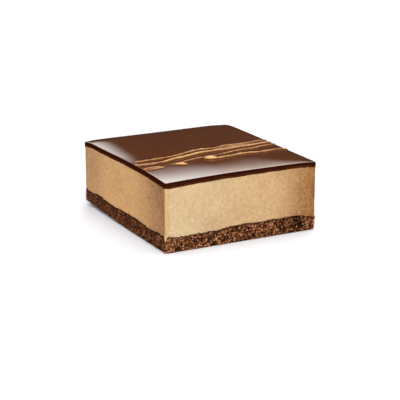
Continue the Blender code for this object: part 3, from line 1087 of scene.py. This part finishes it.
class CAKE_OT_glaze(bpy.types.Operator):
    """Makes the glaze: a smooth domed sheet with a rolled upper edge and a ragged lower one"""

    bl_idname = "cake.glaze"
    bl_label = "Glaze"

    def execute(self, context):
        sizes, look = context.scene.cake_sizes, context.scene.cake_glaze
        columns, rows = grid_counts(sizes, GLAZE_STEP)
        shares = edge_shares(columns, rows)

        def poured(s, x, y):
            return glaze_top(s, x, y) + RIPPLE * noise.noise(Vector((x, y, 0)) / RIPPLE_SIZE)

        def foot(s, x, y):
            wander = noise.fractal(Vector((x, y, 5 * MM)) / (3.2 * MM), 0.9, 2.0, 4)
            return glaze_underside(s, x, y) + look.ragged * wander

        lip, ledge = sizes.glaze_lip, sizes.glaze_ledge
        rings = [inset_ring(sizes, shares, HIDDEN_INSET, foot), inset_ring(sizes, shares, -0.4 * lip, foot)]
        marks = [1.0, 1.0]
        for step in range(GLAZE_RINGS):
            rise = ledge + (sizes.glaze - sizes.glaze_roll - ledge) * step / GLAZE_RINGS
            share = rise / sizes.glaze

            def between(s, x, y):
                return foot(s, x, y) * (1 - share) + poured(s, x, y) * share

            rings.append(inset_ring(sizes, shares, -lip, between))
            marks.append(1 - share)
        for inset, short in quarter_round(sizes.glaze_roll):
            rings.append(inset_ring(sizes, shares, inset - lip, lambda s, x, y: poured(s, x, y) - short))
            marks.append(0.35 * short / sizes.glaze_roll)

        def crown(across, along):
            x, y = on_footprint(sizes, across, along, sizes.glaze_roll - lip)
            return (x, y, poured(sizes, x, y))

        piece = skin("glaze_sheet", rings, marks, "band", columns, rows, crown)
        piece.data.materials.append(chocolate_glaze_poured(look))
        piece.data.materials.append(chocolate_glaze_cut(look))
        bands = piece.data.attributes["band"].data
        for face in piece.data.polygons:
            lowest = min(bands[vertex].value for vertex in face.vertices)
            face.material_index = 1 if lowest > TOP_MARK else 0
        hand_over(piece, "glaze", "glaze")
        return {"FINISHED"}


class CAKE_OT_drizzle(bpy.types.Operator):
    """Lays the strands, drops and film of caramel on the glaze"""

    bl_idname = "cake.drizzle"
    bl_label = "Caramel drizzle"

    def execute(self, context):
        look = context.scene.cake_caramel
        surface = bpy.data.objects.get("glaze_sheet")
        if surface is None:
            raise RuntimeError("The caramel needs the glaze under it: make the glaze first")
        points, edges = [], []
        marks = {"half_width": [], "steepness": []}
        for strand in STRANDS_MM:
            for at, (x, y, width, height) in enumerate(strand):
                if at:
                    edges.append((len(points) - 1, len(points)))
                points.append((x * MM, y * MM, 0))
                half_width = look.spread * width / 2
                marks["half_width"].append(half_width * MM)
                marks["steepness"].append(height / half_width)
        paths = bpy.data.meshes.new("caramel_drizzle")
        paths.from_pydata(points, edges, [])
        piece = place("caramel_drizzle", paths)
        keep_marks(piece, marks)
        values = {
            "Surface": surface,
            "Step": 0.4 * MM,
            "Wobble": look.wobble,
            "Seed": 4.0,
            "Finish": caramel_drizzled(look),
        }
        run_tree(piece, strand_tree(), values)
        hand_over(piece, "glaze")
        return {"FINISHED"}


class CAKE_OT_stage(bpy.types.Operator):
    """Sets up the floor, the room, the light and the camera"""

    bl_idname = "cake.stage"
    bl_label = "Stage"

    def execute(self, context):
        look = context.scene.cake_stage
        mesh = bpy.data.meshes.new("floor")
        corners = ((-1, -1), (1, -1), (1, 1), (-1, 1))
        mesh.from_pydata([(x * FLOOR_HALF, y * FLOOR_HALF, 0) for x, y in corners], [], [(0, 1, 2, 3)])
        mesh.materials.append(white_card(look))
        place("floor", mesh)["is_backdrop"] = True
        self.room(context.scene, look)
        self.key_light(look)
        self.camera(context.scene, look)
        return {"FINISHED"}

    def room(self, scene, look):
        """A white room with a dim wall low down, which the flat glaze mirrors, and bright cards in it."""
        scene.world = bpy.data.worlds.new("Studio")
        scene.world.use_nodes = True
        add = partial(put, scene.world.node_tree)
        way = add("ShaderNodeTexCoord").outputs["Generated"]
        x, y, z = add("ShaderNodeSeparateXYZ", {0: way}).outputs
        rise = add("ShaderNodeMath", {0: z}, operation="ARCSINE")
        compass = add("ShaderNodeMath", {0: x, 1: y}, operation="ARCTAN2")
        # the camera sees the white backdrop itself, above the floor's far edge
        total = add("ShaderNodeMath", {0: add("ShaderNodeLightPath"), 1: look.dim}, operation="MAXIMUM")
        for brightness, colour, edges in CARDS:
            card = brightness
            for rise_share, compass_share, dark, bright in edges:
                across = weighted_sum(add, (compass, compass_share), (rise, rise_share))
                span = {"From Min": math.radians(dark), "From Max": math.radians(bright)}
                edge = add("ShaderNodeMapRange", {"Value": across, **span}, interpolation_type="SMOOTHSTEP")
                card = add("ShaderNodeMath", {0: edge, 1: card}, operation="MULTIPLY")
            lit = add("ShaderNodeVectorMath", {0: linear(colour), "Scale": card}, operation="SCALE")
            total = add("ShaderNodeVectorMath", {0: total, 1: lit}, operation="MAXIMUM")
        feed(scene.world.node_tree.nodes["Background"], {"Color": total})

    def key_light(self, look):
        """A soft light in front of the cake, up on its left."""
        lamp = bpy.data.lights.new("Key", "AREA")
        lamp.energy, lamp.size, lamp.color = look.key_watts, look.key_size, look.key_colour
        holder = place("Key", lamp)
        holder.location = (-80 * MM, -340 * MM, 260 * MM)
        holder.rotation_euler = (-holder.location).to_track_quat("-Z", "Y").to_euler()

    def camera(self, scene, look):
        """A long lens a little above the table, to the left of the front face."""
        lens = bpy.data.cameras.new("Camera")
        lens.lens = look.focal_mm
        lens.clip_start = 10 * MM
        level = Vector((-math.sin(look.azimuth), -math.cos(look.azimuth), 0))
        back = level * math.cos(look.elevation) + Vector((0, 0, math.sin(look.elevation)))
        holder = place("Camera", lens)
        holder.location = Vector((look.aim_x, look.aim_y, 0)) + back * look.distance
        holder.rotation_euler = (-back).to_track_quat("-Z", "Y").to_euler()
        scene.camera = holder
        scene.view_settings.view_transform = "Standard"


class CAKE_PT_panel(bpy.types.Panel):
    """Lists the pieces of the cake in the order they are made"""

    bl_idname = "CAKE_PT_panel"
    bl_label = "Chocolate cream cake"
    bl_space_type = "VIEW_3D"
    bl_region_type = "UI"
    bl_category = "Cake"

    def draw(self, context):
        for operator in OPERATORS:
            self.layout.operator(operator.bl_idname)
        for label, group in GROUPS.items():
            settings = getattr(context.scene, label)
            box = self.layout.box()
            for name in group.__annotations__:
                box.prop(settings, name)


OPERATORS = (CAKE_OT_sponge, CAKE_OT_mousse, CAKE_OT_glaze, CAKE_OT_drizzle, CAKE_OT_stage)
GROUPS = {
    "cake_sizes": CakeSizes,
    "cake_sponge": SpongeLook,
    "cake_mousse": MousseLook,
    "cake_glaze": GlazeLook,
    "cake_caramel": CaramelLook,
    "cake_stage": StageLook,
}


def register():
    for kind in (*GROUPS.values(), *OPERATORS, CAKE_PT_panel):
        bpy.utils.register_class(kind)
    for label, group in GROUPS.items():
        setattr(bpy.types.Scene, label, PointerProperty(type=group))


def unregister():
    for label in GROUPS:
        delattr(bpy.types.Scene, label)
    for kind in (CAKE_PT_panel, *reversed(OPERATORS), *reversed(GROUPS.values())):
        bpy.utils.unregister_class(kind)


def main():
    register()
    bpy.ops.cake.sponge()
    bpy.ops.cake.mousse()
    bpy.ops.cake.glaze()
    bpy.ops.cake.drizzle()
    bpy.ops.cake.stage()
    boxes = {"cad": CAD_BOX, "visual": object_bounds()}
    {name: [list(corner) for corner in box] for name, box in boxes.items()}


if __name__ == "__main__":
    main()
